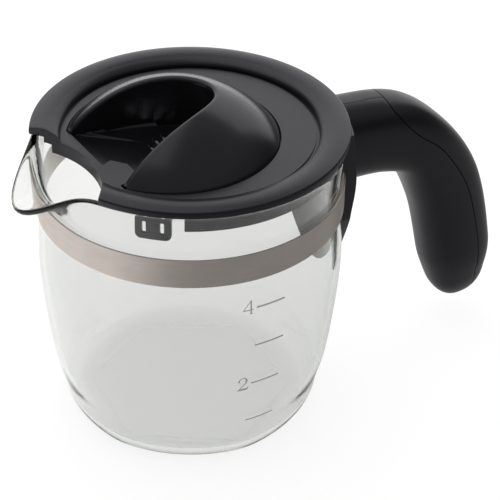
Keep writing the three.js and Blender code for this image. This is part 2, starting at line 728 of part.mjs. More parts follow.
function finish(color, roughness, metalness = 0) {
  return new THREE.MeshStandardMaterial({ color, roughness, metalness });
}
const clearGlass = () => Object.assign(finish(0xe8efec, 0.05), { transparent: true, opacity: 0.35 });
const brushedSteel = () => finish(0xa89f98, 0.35, 1);
const zincSteel = () => finish(0xb4b6b8, 0.4, 1);
const satinBlack = () => finish(0x2b2b2d, 0.5);
const glossBlack = () => finish(0x141416, 0.18);

// Assembly: the lid is its own group, because it lifts off

function piece(name, solid, material) {
  const mesh = new THREE.Mesh(toGeometry(solid), material);
  mesh.name = name;
  return mesh;
}

const carafe = new THREE.Group();
carafe.name = 'carafe';
carafe.add(
  piece('glass_jug', jugSolid(), clearGlass()),
  piece('neck_band', bandSolid(), brushedSteel()),
  piece('clamp_nut', nutSolid(), zincSteel()),
  piece('screw_washer', washerSolid(), zincSteel()),
  piece('draw_screw', screwSolid(), zincSteel()),
  piece('handle_body', handleBodySolid(), satinBlack()),
  piece('handle_cover', handleCoverSolid(), satinBlack()),
);

const lid = new THREE.Group();
lid.name = 'lid';
lid.add(
  piece('lid_cover', lidCoverSolid(), satinBlack()),
  piece('lid_funnel', lidFunnelSolid(), glossBlack()),
);
lid.children.forEach((mesh) => mesh.geometry.rotateZ(lidTurn * degree));
carafe.add(lid);

export default carafe;
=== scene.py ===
import math

import bmesh
import bpy
from mathutils import Matrix, Vector


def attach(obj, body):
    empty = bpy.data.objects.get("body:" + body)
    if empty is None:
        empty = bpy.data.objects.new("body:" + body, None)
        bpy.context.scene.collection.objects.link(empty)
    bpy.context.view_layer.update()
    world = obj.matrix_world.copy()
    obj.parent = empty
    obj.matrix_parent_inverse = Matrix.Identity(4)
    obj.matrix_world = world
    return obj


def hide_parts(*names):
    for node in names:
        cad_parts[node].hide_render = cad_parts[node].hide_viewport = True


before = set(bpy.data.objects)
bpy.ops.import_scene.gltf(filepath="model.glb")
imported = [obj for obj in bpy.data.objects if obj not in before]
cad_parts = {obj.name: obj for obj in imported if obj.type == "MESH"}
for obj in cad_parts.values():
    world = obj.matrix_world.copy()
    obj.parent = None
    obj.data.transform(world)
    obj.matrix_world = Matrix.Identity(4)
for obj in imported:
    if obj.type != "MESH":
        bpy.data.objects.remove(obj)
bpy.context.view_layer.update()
print("frame loaded:", sorted(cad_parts))

mm = 0.001
weldReach = 0.002 * mm  # points closer than this are one point
cutReach = 0.03 * mm  # the same after cuts, before edges are rounded
scene = bpy.context.scene
scene.view_settings.view_transform = "Standard"


# small tools

def lerp(a, b, t):
    return a + (b - a) * t


def spreadEven(low, high, count):
    return [lerp(low, high, k / (count - 1)) for k in range(count)]


def quadratic(a, b, c, w):
    return a * (1 - w) ** 2 + b * 2 * w * (1 - w) + c * w * w


def cubic(a, b, c, d, w):
    return a * (1 - w) ** 3 + b * 3 * w * (1 - w) ** 2 + c * 3 * w * w * (1 - w) + d * w ** 3


def hermite(p1, p2, m1, m2, w):
    return ((2 * p1 - 2 * p2 + m1 + m2) * w ** 3 + (-3 * p1 + 3 * p2 - 2 * m1 - m2) * w ** 2 + m1 * w + p1)


def evenSpline(points, t):  # a smooth line through points, evenly shared out
    last = len(points) - 1
    k = min(int(t * last), last - 1)
    before, after = points[max(k - 1, 0)], points[min(k + 2, last)]
    here, there = points[k], points[k + 1]
    return hermite(here, there, (there - before) / 2, (after - here) / 2, t * last - k)


def tautSpline(points, t):  # a smooth line that never loops between unevenly spaced points
    last = len(points) - 1
    k = min(int(t * last), last - 1)
    here, there = points[k], points[k + 1]
    before = points[k - 1] if k > 0 else 2 * points[0] - points[1]
    after = points[k + 2] if k + 2 <= last else 2 * points[last] - points[last - 1]
    a, b, c = [math.sqrt((q - p).length) for p, q in ((before, here), (here, there), (there, after))]
    m1 = ((here - before) / a - (there - before) / (a + b) + (there - here) / b) * b
    m2 = ((there - here) / b - (after - here) / (b + c) + (after - there) / c) * b
    return hermite(here, there, m1, m2, t * last - k)


def tidyMesh(bm):
    bmesh.ops.remove_doubles(bm, verts=bm.verts, dist=weldReach)
    bmesh.ops.dissolve_degenerate(bm, dist=weldReach, edges=bm.edges)
    bmesh.ops.recalc_face_normals(bm, faces=bm.faces)


def spinProfile(points, steps, closed=False, centre=(0, 0)):  # points are pairs of radius and height
    bm = bmesh.new()
    verts = [bm.verts.new((r * mm, 0, z * mm)) for r, z in points]
    pairs = list(zip(verts, verts[1:])) + ([(verts[-1], verts[0])] if closed else [])
    edges = [bm.edges.new(pair) for pair in pairs]
    bmesh.ops.spin(bm, geom=verts + edges, cent=(0, 0, 0), axis=(0, 0, 1), angle=math.tau,
                   steps=steps, use_merge=True, use_duplicate=False)
    tidyMesh(bm)
    bmesh.ops.translate(bm, verts=bm.verts, vec=(centre[0] * mm, centre[1] * mm, 0))
    return bm


def wrappedSheet(uSteps, vSteps, place):  # a grid whose points are moved by place(u, v), in millimetres
    bm = bmesh.new()
    bmesh.ops.create_grid(bm, x_segments=uSteps, y_segments=vSteps, size=0.5)
    for vert in bm.verts:
        vert.co = place(vert.co.x + 0.5, vert.co.y + 0.5) * mm
    return bm


def closeEnds(bm):
    edges = [edge for edge in bm.edges if edge.is_boundary]
    bmesh.ops.holes_fill(bm, edges=edges, sides=0)
    bmesh.ops.recalc_face_normals(bm, faces=bm.faces)
    return bm


def pillar(outline, low, high):  # an upright solid on an outline of (x, y) points
    bm = bmesh.new()
    base = bm.faces.new([bm.verts.new((x * mm, y * mm, low * mm)) for x, y in outline])
    grown = bmesh.ops.extrude_face_region(bm, geom=[base])
    moved = [item for item in grown["geom"] if isinstance(item, bmesh.types.BMVert)]
    bmesh.ops.translate(bm, verts=moved, vec=(0, 0, (high - low) * mm))
    bmesh.ops.recalc_face_normals(bm, faces=bm.faces)
    return bm


def turnMesh(bm, angle, axis):
    bmesh.ops.rotate(bm, verts=bm.verts, cent=(0, 0, 0), matrix=Matrix.Rotation(math.radians(angle), 3, axis))
    return bm


def alongX(bm):  # lays an upright solid, drawn over (across, up), along X
    bmesh.ops.rotate(bm, verts=bm.verts, cent=(0, 0, 0), matrix=Matrix(((0, 0, 1), (1, 0, 0), (0, 1, 0))))
    return bm


def roundOutline(x, y, radius, count, start=0, turn=360):  # a full round, or an arc with both its ends
    return [(x + radius * math.cos(math.radians(start + turn * k / count)),
             y + radius * math.sin(math.radians(start + turn * k / count)))
            for k in range(count if turn == 360 else count + 1)]


def boxSolid(low, high):
    bm = bmesh.new()
    bmesh.ops.create_cube(bm, size=1)
    size = [(b - a) * mm for a, b in zip(low, high)]
    middle = [(a + b) / 2 * mm for a, b in zip(low, high)]
    bmesh.ops.scale(bm, verts=bm.verts, vec=size)
    bmesh.ops.translate(bm, verts=bm.verts, vec=middle)
    return bm


def toObject(name, bm):
    mesh = bpy.data.meshes.new(name)
    bm.to_mesh(mesh)
    bm.free()
    made = bpy.data.objects.new(name, mesh)
    scene.collection.objects.link(made)
    return made


def takeMesh(made):  # turns a helper object back into a working mesh
    bm = bmesh.new()
    bm.from_mesh(made.data)
    bpy.data.meshes.remove(made.data)
    return bm


def combine(piece, bm, how):  # joins a solid to a piece, or cuts it with one
    tool = toObject("tool", bm)
    step = piece.modifiers.new("combine", "BOOLEAN")
    step.operation, step.solver, step.object = how, "EXACT", tool
    shape = bpy.data.meshes.new_from_object(piece.evaluated_get(bpy.context.evaluated_depsgraph_get()))
    piece.modifiers.clear()
    old, piece.data = piece.data, shape
    bpy.data.meshes.remove(old)
    bpy.data.meshes.remove(tool.data)


def softenEdges(piece, width, minAngle, pick, segments=2):  # a small round on the sharp edges that pick names
    bm = bmesh.new()
    bm.from_mesh(piece.data)
    bmesh.ops.remove_doubles(bm, verts=bm.verts, dist=cutReach)
    bmesh.ops.dissolve_degenerate(bm, dist=cutReach, edges=bm.edges)
    sharp = [edge for edge in bm.edges if edge.is_manifold and edge.calc_face_angle(0) > math.radians(minAngle)
             and all(pick(vert.co / mm) for vert in edge.verts)]
    bmesh.ops.bevel(bm, geom=sharp, offset=width * mm, offset_type="OFFSET", affect="EDGES",
                    segments=segments, profile=0.5, material=-1, clamp_overlap=True)
    bm.to_mesh(piece.data)
    bm.free()


def turnAbout(piece, angle):  # turns the mesh itself, so that the object stays unturned
    piece.data.transform(Matrix.Rotation(math.radians(angle), 4, "Z"))


def finishPiece(piece, material, body, nodes=(), smoothAngle=35):
    piece.data.materials.clear()
    piece.data.materials.append(material)
    piece.data.polygons.foreach_set("use_smooth", [True] * len(piece.data.polygons))
    piece.data.set_sharp_from_angle(angle=math.radians(smoothAngle))
    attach(piece, body)
    if nodes:
        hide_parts(*nodes)
    faces = sum(len(face.vertices) - 2 for face in piece.data.polygons)
    print("made", piece.name, "with", faces, "triangles")


# finishes

class Nodes:  # short ways to add nodes to a tree
    def __init__(self, tree):
        self.tree = tree

    def feed(self, socket, value):
        if isinstance(value, bpy.types.NodeSocket):
            self.tree.links.new(value, socket)
        else:
            socket.default_value = value

    def add(self, kind, inputs=None, **settings):
        made = self.tree.nodes.new(kind)
        for key, value in settings.items():
            setattr(made, key, value)
        for key, value in (inputs or {}).items():
            self.feed(made.inputs[key], value)
        return made

    def maths(self, operation, a, b):
        return self.add("ShaderNodeMath", {0: a, 1: b}, operation=operation).outputs[0]

    def span(self, value, low, high, fromLow=0.3, fromHigh=0.7, **settings):
        made = self.add("ShaderNodeMapRange", {"Value": value, "From Min": fromLow, "From Max": fromHigh,
                                               "To Min": low, "To Max": high}, **settings)
        return made.outputs["Result"]

    def along(self, vector, way):  # how far a place or a direction lies along a way
        return self.add("ShaderNodeVectorMath", {0: vector, 1: way}, operation="DOT_PRODUCT").outputs["Value"]


class Finish(Nodes):  # a material and its shader
    def __init__(self, name):
        self.material = bpy.data.materials.new(name)
        self.material.use_nodes = True
        super().__init__(self.material.node_tree)
        self.shader = self.tree.nodes["Principled BSDF"]

    def set(self, **values):
        for key, value in values.items():
            self.feed(self.shader.inputs[key.replace("_", " ")], value)

    def place(self):  # the piece's own coordinates
        return self.add("ShaderNodeTexCoord").outputs["Object"]

    def noise(self, vector, scale, detail=2.0, roughness=0.5):
        made = self.add("ShaderNodeTexNoise", {"Vector": vector, "Scale": scale, "Detail": detail,
                                               "Roughness": roughness})
        return made.outputs["Fac"]

    def blend(self, value, low, high):
        made = self.add("ShaderNodeMix", {0: value, 6: (*low, 1), 7: (*high, 1)}, data_type="RGBA")
        return made.outputs[2]

    def bump(self, height, depth, strength):
        made = self.add("ShaderNodeBump", {"Height": height, "Distance": depth * mm, "Strength": strength})
        return made.outputs["Normal"]


satinLook = {"dark": (0.0040, 0.0039, 0.0050), "light": (0.0064, 0.0062, 0.0078), "sheen": (0.92, 0.91, 1.0),
             "roughness": 0.34, "roughnessSpread": 0.03, "cloudScale": 45.0, "ior": 1.46,
             "grainSize": 0.35, "grainDepth": 0.02, "grainStrength": 0.35}
glossLook = {"dark": (0.0040, 0.0039, 0.0046), "light": (0.0054, 0.0052, 0.0062), "sheen": (0.92, 0.91, 1.0),
             "roughness": 0.23, "roughnessSpread": 0.03, "cloudScale": 45.0, "ior": 1.45,
             "grainSize": 1.2, "grainDepth": 0.004, "grainStrength": 0.2}


def mouldedPlastic(name, look):
    finish = Finish(name)
    spot = finish.place()
    grain = finish.noise(spot, 1 / (look["grainSize"] * mm), detail=3.0, roughness=0.6)
    cloud = finish.noise(spot, look["cloudScale"], detail=3.0)
    finish.set(Base_Color=finish.blend(finish.span(grain, 0, 1), look["dark"], look["light"]),
               Roughness=finish.span(cloud, look["roughness"] - look["roughnessSpread"],
                                     look["roughness"] + look["roughnessSpread"]),
               Normal=finish.bump(grain, look["grainDepth"], look["grainStrength"]),
               IOR=look["ior"], Specular_Tint=(*look["sheen"], 1))
    return finish.material


satinBlack = mouldedPlastic("satinBlack", satinLook)
glossBlack = mouldedPlastic("glossBlack", glossLook)


glassLook = {"clear": (0.845, 0.842, 0.842), "depthTint": (0.62, 0.78, 0.52), "depthStrength": 18.0, "ior": 1.42,
             "waveSize": 18.0, "waveDepth": 0.05, "waveStrength": 0.4, "seedScale": 900.0, "seedRoughness": 0.003}


def blownGlass():
    finish = Finish("clearGlass")
    wave = finish.noise(finish.place(), 1 / (glassLook["waveSize"] * mm), detail=1.0)
    seed = finish.noise(finish.place(), glassLook["seedScale"], detail=1.0)
    finish.set(Base_Color=(*glassLook["clear"], 1), IOR=glassLook["ior"], Transmission_Weight=1.0,
               Roughness=finish.span(seed, 0.0, glassLook["seedRoughness"], fromLow=0.55, fromHigh=0.75),
               Normal=finish.bump(wave, glassLook["waveDepth"], glassLook["waveStrength"]))
    depth = finish.add("ShaderNodeVolumeAbsorption", {"Color": (*glassLook["depthTint"], 1),
                                                      "Density": glassLook["depthStrength"]})  # greener where thick
    finish.tree.links.new(depth.outputs["Volume"], finish.tree.nodes["Material Output"].inputs["Volume"])
    return finish.material


clearGlass = blownGlass()


steelLook = {"dark": (0.50, 0.452, 0.41), "light": (0.70, 0.645, 0.595), "roughness": (0.36, 0.52),
             "streakLength": 14.0, "streakWidth": 0.09, "streakDepth": 0.006, "streakStrength": 0.6,
             "streakShare": 0.75, "cloudScale": 70.0, "bandRadius": 56.0}


def brushedSteel():  # streaks that run round the jug's axis
    finish = Finish("brushedSteel")
    parts = finish.add("ShaderNodeSeparateXYZ", {"Vector": finish.place()})
    around = finish.maths("ARCTAN2", parts.outputs["Y"], parts.outputs["X"])
    along = finish.maths("MULTIPLY", around, steelLook["bandRadius"] / steelLook["streakLength"])
    across = finish.maths("MULTIPLY", parts.outputs["Z"], 1 / (steelLook["streakWidth"] * mm))
    spot = finish.add("ShaderNodeCombineXYZ", {"X": along, "Y": across}).outputs["Vector"]
    streak = finish.noise(spot, 1.0, detail=4.0, roughness=0.65)
    cloud = finish.noise(finish.place(), steelLook["cloudScale"])
    mixed = finish.maths("ADD", finish.span(streak, 0, steelLook["streakShare"]),
                         finish.span(cloud, 0, 1 - steelLook["streakShare"]))
    low, high = steelLook["roughness"]
    finish.set(Base_Color=finish.blend(mixed, steelLook["dark"], steelLook["light"]), Metallic=1.0,
               Roughness=finish.span(streak, high, low),
               Normal=finish.bump(streak, steelLook["streakDepth"], steelLook["streakStrength"]))
    return finish.material


bandSteel = brushedSteel()


platedLook = {"dark": (0.46, 0.47, 0.49), "light": (0.62, 0.63, 0.63), "roughness": (0.28, 0.42),
              "cloudScale": 380.0, "cloudDepth": 0.01, "cloudStrength": 0.3}


def platedSteel():
    finish = Finish("platedSteel")
    cloud = finish.noise(finish.place(), platedLook["cloudScale"], detail=4.0, roughness=0.6)
    low, high = platedLook["roughness"]
    finish.set(Base_Color=finish.blend(finish.span(cloud, 0, 1), platedLook["dark"], platedLook["light"]),
               Metallic=1.0, Roughness=finish.span(cloud, high, low),
               Normal=finish.bump(cloud, platedLook["cloudDepth"], platedLook["cloudStrength"]))
    return finish.material


for node in ("clamp_nut", "screw_washer", "draw_screw"):
    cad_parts[node].data.materials.clear()
    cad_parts[node].data.materials.append(platedSteel())


enamelLook = {"dark": (0.50, 0.495, 0.49), "light": (0.62, 0.615, 0.61), "roughness": 0.55,
              "speckScale": 2600.0, "speckDepth": 0.01, "speckStrength": 0.4}


def printedEnamel():
    finish = Finish("greyEnamel")
    speck = finish.noise(finish.place(), enamelLook["speckScale"], detail=3.0, roughness=0.7)
    finish.set(Base_Color=finish.blend(finish.span(speck, 0, 1), enamelLook["dark"], enamelLook["light"]),
               Roughness=enamelLook["roughness"],
               Normal=finish.bump(speck, enamelLook["speckDepth"], enamelLook["speckStrength"]))
    return finish.material


greyEnamel = printedEnamel()
print("finishes ready")


# the glass jug

jug = {"height": 116.5, "wall": 2.4, "floor": 2.6, "fillet": 7.2, "baseEdge": 9.7,
       "outside": [(49.3, 9.7), (50.3, 15.0), (53.4, 30), (56.4, 64), (55.1, 93.6), (56.3, 115.3)],
       "hexHeight": 34.0, "hexOutside": 0.2, "hexInside": 0.25, "hexSoftness": 18,
       "bead": 38.0, "beadHalfWidth": 1.3, "beadHeight": 0.5, "beadMargin": 0.7,
       "spoutReach": 11.8, "spoutDroop": 12.5, "spoutDepth": 18.5, "spoutHalfAngle": 40.0, "spoutPower": 5,
       "steps": 168, "rows": 52, "rowCrowding": 1.25, "baseRows": 14, "edgeRows": 9, "innerRows": 12, "beadRows": 13,
       "lineSteps": 401}
jugLine = [evenSpline([Vector(p) for p in jug["outside"]], t) for t in spreadEven(0, 1, jug["lineSteps"])]


def jugRadius(height):
    for low, high in zip(jugLine, jugLine[1:]):
        if low.y <= height <= high.y:
            return lerp(low.x, high.x, (height - low.y) / (high.y - low.y))
    return jugLine[0].x if height < jugLine[0].y else jugLine[-1].x


def hexagonShare(angle):  # how far in the flats of a soft hexagon lie
    def spread(at):
        return sum(max(math.cos(at - k * math.pi / 3), 0) ** jug["hexSoftness"] for k in range(6))
    return (spread(angle) / spread(math.pi / 6)) ** (-1 / jug["hexSoftness"])


def sixSided(share, z):  # the hexagon fades out up the wall
    return share * max(1 - z / jug["hexHeight"], 0) ** 2


def jugSection():  # radius and height on the wall's middle, the way out to its skin, and the share of the hexagon
    half = jug["wall"] / 2
    edge, foot = jug["baseEdge"], jug["outside"][0][0]
    rim = jug["outside"][-1]
    outside = [(r, 0, 0, 0) for r in spreadEven(0, foot - edge, jug["baseRows"])]
    outside += [(foot - edge + edge * math.sin(a), edge - edge * math.cos(a), 0, 0)
                for a in spreadEven(0, math.pi / 2, jug["edgeRows"])[1:-1]]
    heights = [lerp(edge, rim[1], (k / jug["rows"]) ** jug["rowCrowding"]) for k in range(jug["rows"] + 1)]
    outside += [(jugRadius(z) - half, z, half, 0) for z in heights[:-1]]
    outside += [(rim[0] - half, rim[1], half * math.cos(a), half * math.sin(a))
                for a in spreadEven(0, math.pi, jug["edgeRows"])]
    top = jug["floor"] + jug["fillet"]
    inside = [(jugRadius(z) - half, z, -half, 0) for z in reversed(heights[:-1]) if z > top + half]
    inner = jugRadius(top) - jug["wall"] - jug["fillet"]
    inside += [(inner + jug["fillet"] * math.cos(a), top - jug["fillet"] * math.sin(a), 0, 0)
               for a in spreadEven(0, math.pi / 2, jug["innerRows"])]
    section = [(*place, sixSided(jug["hexOutside"], place[1])) for place in outside]
    section += [(*place, sixSided(jug["hexInside"], place[1])) for place in inside]
    for step in spreadEven(1, -1, jug["beadRows"]):  # over the bead, which is fully six-sided
        lift = jug["beadHeight"] * (1 + math.cos(step * math.pi)) / 2
        section.append((jug["bead"] + step * jug["beadHalfWidth"], jug["floor"] + lift, 0, 0, 1))
    within = jug["bead"] - jug["beadHalfWidth"] - jug["beadMargin"]
    return section + [(r, jug["floor"], 0, 0, 1) for r in reversed(spreadEven(0, within, jug["innerRows"]))]


def jugPoint(place, angle):
    r, z, outR, outZ, share = place
    flat = 1 - share * (1 - hexagonShare(angle))
    aside = abs(math.remainder(angle - math.pi, math.tau)) / math.radians(jug["spoutHalfAngle"])
    beak = math.cos(aside * math.pi / 2) ** jug["spoutPower"] if aside < 1 else 0
    rise = jug["spoutDepth"] - jug["wall"] / 2
    climb = max((z - jug["height"] + jug["spoutDepth"]) / rise, 0)
    lean = math.atan2(2 * jug["spoutReach"] * beak * climb, rise - 2 * jug["spoutDroop"] * beak * climb)
    radius = r * flat + jug["spoutReach"] * beak * climb ** 2 + outR * math.cos(lean) + outZ * math.sin(lean)
    height = z - jug["spoutDroop"] * beak * climb ** 2 - outR * math.sin(lean) + outZ * math.cos(lean)
    return Vector((radius * math.cos(angle), radius * math.sin(angle), height))


def makeJug():
    section = jugSection()
    last = len(section) - 1
    bm = wrappedSheet(jug["steps"], last, lambda u, v: jugPoint(section[round(v * last)], u * math.tau))
    tidyMesh(bm)
    finishPiece(toObject("glassJug", bm), clearGlass, "jug", ["glass_jug"], smoothAngle=60)


makeJug()


# the steel band round the neck

band = {"middle": 93.6, "width": 11.4, "sheet": 0.7, "inner": 55.7, "edge": 0.18,
        "lugSpread": 5.6, "lugReach": 64.7, "lugBend": 0.9, "lugSteps": 4, "hook": 2.4, "steps": 150}


def makeBand():
    gap = math.asin(band["lugSpread"] / band["inner"])
    side = band["lugSpread"] + band["sheet"] / 2
    middle = band["inner"] + band["sheet"] / 2
    arc = [(middle * math.cos(a), middle * math.sin(a)) for a in spreadEven(gap, math.tau - gap, band["steps"])]
    hookX, hookY = band["lugReach"] - band["sheet"] / 2, band["lugSpread"] - band["hook"]
    lug = spreadEven(hookX, middle + band["lugBend"], band["lugSteps"])
    start = [(hookX, hookY)] + [(x, side) for x in lug]
    path = [Vector(p) for p in start + arc[1:-1] + [(x, -y) for x, y in reversed(start)]]
    half, edge = band["width"] / 2, band["edge"]
    thick = band["sheet"] / 2
    ring = [(-thick, -half + edge), (-thick + edge, -half), (thick - edge, -half), (thick, -half + edge),
            (thick, half - edge), (thick - edge, half), (-thick + edge, half), (-thick, half - edge)]
    last = len(path) - 1

    def place(u, v):
        k = round(u * last)
        along = (path[min(k + 1, last)] - path[max(k - 1, 0)]).normalized()
        across, up = ring[round(v * len(ring)) % len(ring)]
        spot = path[k] + Vector((along.y, -along.x)) * across
        return Vector((spot.x, spot.y, band["middle"] + up))
    bm = wrappedSheet(last, len(ring), place)
    tidyMesh(bm)
    closeEnds(bm)
    finishPiece(toObject("neckBand", bm), bandSteel, "jug", ["neck_band"], smoothAngle=30)


makeBand()


# the handle: a saddle on the glass, a neck and a hanging grip, split along a seam

handle = {"root": 55.1, "level": 93.6, "reach": 66.3, "drop": 74.1, "squareness": 2.4,
          "tip": 13.0, "tipStart": 0.8, "tipFullness": 3.0, "wall": 2.6, "sides": 72, "rows": 84, "tipRows": 14,
          "sections": [(0.044, -0.046, 16.7, 12.5), (0.413, -0.011, 15.9, 12.5), (0.64, 0.109, 13.7, 12.5),
                       (0.834, 0.378, 15.0, 11.9), (0.968, 0.82, 15.0, 11.9), (1, 1, 13.45, 10.9)],
          "seam": [(0.13, 1.7), (0.15, 0.97), (0.195, 0.56), (0.276, 0.333), (0.43, 0.313),
                   (0.61, 0.345), (0.747, 0.36), (0.88, 0.34), (1, 0.29)],
          "seamGap": 0.34, "seamEdge": 0.22, "seamStart": 70.0, "seamHalfWidth": 12.4}
aboveAll = 130  # a height past the neck, for what cuts it
neckLine = {"angle": -10.4, "depth": 0.16, "width": 0.2, "end": 0.148, "steps": 14}
handleLine = [Vector((handle["root"] + s[0] * handle["reach"], 0, handle["level"] - s[1] * handle["drop"]))
              for s in handle["sections"]]
handleSizes = [Vector(s[2:]) for s in handle["sections"]]


def handleFrame(t):
    step = 0.0005
    along = (tautSpline(handleLine, min(t + step, 1)) - tautSpline(handleLine, max(t - step, 0))).normalized()
    return tautSpline(handleLine, t), along, Vector((-along.z, 0, along.x)), evenSpline(handleSizes, t)


def handlePoint(t, angle, inset, shrink, forward):
    middle, along, outward, size = handleFrame(t)

    def swell(value):
        return math.copysign(abs(value) ** (2 / handle["squareness"]), value) * shrink
    return (middle + outward * (size.x - inset) * swell(math.cos(angle))
            + Vector((0, 1, 0)) * (size.y - inset) * swell(math.sin(angle)) + along * forward)


def gripSolid(start, inset):
    rows, tipRows = handle["rows"], handle["tipRows"]
    tip = handle["tip"] - inset / 2
    run = (handleFrame(1)[0] - handleFrame(handle["tipStart"])[0]).length

    def place(u, v):
        row = round(v * (rows + tipRows))
        t = lerp(start, 1, min(row / rows, 1))
        forward = tip * math.sin(max(row - rows, 0) / tipRows * math.pi / 2)
        past = max(t - handle["tipStart"], 0) / (1 - handle["tipStart"]) * run + forward
        shrink = math.sqrt(max(1 - (past / (run + tip)) ** handle["tipFullness"], 0))
        return handlePoint(t, u * math.tau, inset, shrink, forward)
    bm = wrappedSheet(handle["sides"], rows + tipRows, place)
    tidyMesh(bm)
    return closeEnds(bm)


def seamSolid(offset):  # everything behind the seam
    last, reach, halfWidth = 120, 40, 30  # steps along the seam, and a size past the handle's back and sides

    def onHandle(t, share):
        middle, _, outward, size = handleFrame(t)
        return middle + outward * share * size.x
    end, along = handleFrame(1)[:2]
    points = [onHandle(*place) for place in handle["seam"]]
    points.append(points[-1] + along * 2 * handle["tip"])
    line = [evenSpline(points, k / last) for k in range(last + 1)]
    edge = []
    for k, point in enumerate(line):
        way = (line[min(k + 1, last)] - line[max(k - 1, 0)]).normalized()
        edge.append((point.x - way.z * offset, point.z + way.x * offset))
    far = end.x + reach
    edge += [(far, edge[-1][1]), (far, edge[0][1])]
    return turnMesh(pillar(edge, -halfWidth, halfWidth), 90, "X")


def mouldLine():  # a fine groove along the top of the neck
    angle, half = math.radians(neckLine["angle"]), neckLine["width"] / 2
    spots = spreadEven(0, neckLine["end"], neckLine["steps"])
    points = [handlePoint(t, angle, neckLine["depth"], 1, 0) for t in spots]
    edge = [(point.x, point.z) for point in points] + [(points[-1].x, aboveAll), (points[0].x, aboveAll)]
    return turnMesh(pillar(edge, -points[0].y - half, -points[0].y + half), 90, "X")


saddle = {"top": 114.2, "halfWidth": 25.4, "waist": 78.0, "tip": 46.0, "tipHalfWidth": 11.0,
          "turnDrop": 0.46, "turnWidth": 0.8, "fit": 0.3, "edge": 0.7, "edgeStart": 0.8,
          "skin": [(57.5, 42.4), (57.8, 62.0), (59.5, 79.0), (60.9, 94.6), (58.6, 116.5)],
          "bandClear": 56.7, "bandLow": 87.6, "bandHigh": 99.6, "reach": (30, 80),
          "steps": 180, "curveSteps": 25, "skinSteps": 49, "lowSteps": 24, "highSteps": 8}


def saddleOutline():
    half, turn = saddle["halfWidth"], lerp(saddle["waist"], saddle["tip"], saddle["turnDrop"])
    curve = [Vector((half, saddle["waist"])), Vector((saddle["turnWidth"] * half, turn)),
             Vector((saddle["tipHalfWidth"], saddle["tip"])), Vector((0, saddle["tip"]))]
    side = [(half, saddle["top"])]
    side += [tuple(cubic(*curve, w)) for w in spreadEven(0, 1, saddle["curveSteps"])]
    return side + [(-y, z) for y, z in reversed(side[:-1])]


def besideGlass(low, high):  # a line up the glass and round the band, with room to slide on
    def onGlass(start, end, count):
        return [(jugRadius(z) + saddle["fit"], z) for z in spreadEven(start, end, count)]
    step = [(saddle["bandClear"], saddle["bandLow"]), (saddle["bandClear"], saddle["bandHigh"])]
    return (onGlass(low, saddle["bandLow"], saddle["lowSteps"]) + step
            + onGlass(saddle["bandHigh"], high, saddle["highSteps"]))


def saddleSolid():
    line = [Vector(p) for p in saddle["skin"]]
    skin = [tuple(evenSpline(line, w)) for w in spreadEven(0, 1, saddle["skinSteps"])]
    inside = besideGlass(saddle["skin"][0][1], saddle["skin"][-1][1])
    body = toObject("saddleShape", spinProfile(inside + skin[::-1], saddle["steps"], closed=True))
    combine(body, alongX(pillar(saddleOutline(), *saddle["reach"])), "INTERSECT")

    def offGlass(p):
        return math.hypot(p.x, p.y) > jugRadius(p.z) + saddle["edgeStart"]
    softenEdges(body, saddle["edge"], minAngle=50, pick=offGlass, segments=3)
    return takeMesh(body)


clamp = {"pocketSide": 6.6, "pocketStart": 40.0, "pocketEnd": 65.0, "low": 87.6, "high": 99.6,
         "screwHole": 2.2, "screwStart": 50.0, "overlap": 1.0, "headRoom": 4.9, "webEnd": 69.8, "roomEnd": 82.5,
         "sides": 40}


def roundBar(radius, x0, x1):
    bm = turnMesh(pillar(roundOutline(0, 0, radius, clamp["sides"]), x0, x1), 90, "Y")
    bmesh.ops.translate(bm, verts=bm.verts, vec=(0, 0, handle["level"] * mm))
    return bm


def jugClearance():
    low = 20  # below the handle's neck
    return spinProfile([(0, low)] + besideGlass(low, aboveAll) + [(0, aboveAll)], saddle["steps"])


def makeHandle():
    hollowStart = 1 / (len(handle["sections"]) - 1)
    halfGap = handle["seamGap"] / 2

    def nearSeam(p):
        return abs(p.y) < handle["seamHalfWidth"] and p.x > handle["seamStart"]
    body = toObject("handleBody", gripSolid(0, 0))
    combine(body, gripSolid(hollowStart, handle["wall"]), "DIFFERENCE")
    combine(body, mouldLine(), "DIFFERENCE")
    cover = body.copy()
    cover.data = body.data.copy()
    cover.name = "handleCover"
    scene.collection.objects.link(cover)
    combine(cover, seamSolid(halfGap), "INTERSECT")
    combine(body, seamSolid(-halfGap), "DIFFERENCE")
    for half in (cover, body):
        softenEdges(half, handle["seamEdge"], minAngle=45, pick=nearSeam)
    combine(body, jugClearance(), "DIFFERENCE")
    combine(body, saddleSolid(), "UNION")
    side = clamp["pocketSide"]
    pocket = boxSolid((clamp["pocketStart"], -side, clamp["low"]), (clamp["pocketEnd"], side, clamp["high"]))
    combine(body, pocket, "DIFFERENCE")
    combine(body, roundBar(clamp["screwHole"], clamp["screwStart"], clamp["webEnd"] + clamp["overlap"]), "DIFFERENCE")
    combine(body, roundBar(clamp["headRoom"], clamp["webEnd"], clamp["roomEnd"]), "DIFFERENCE")
    finishPiece(body, satinBlack, "jug", ["handle_body"], smoothAngle=40)
    finishPiece(cover, satinBlack, "jug", ["handle_cover"], smoothAngle=40)


makeHandle()


# the lid: a crowned rim, a sunk disc, a bite over the spout, a skirt and two snap loops

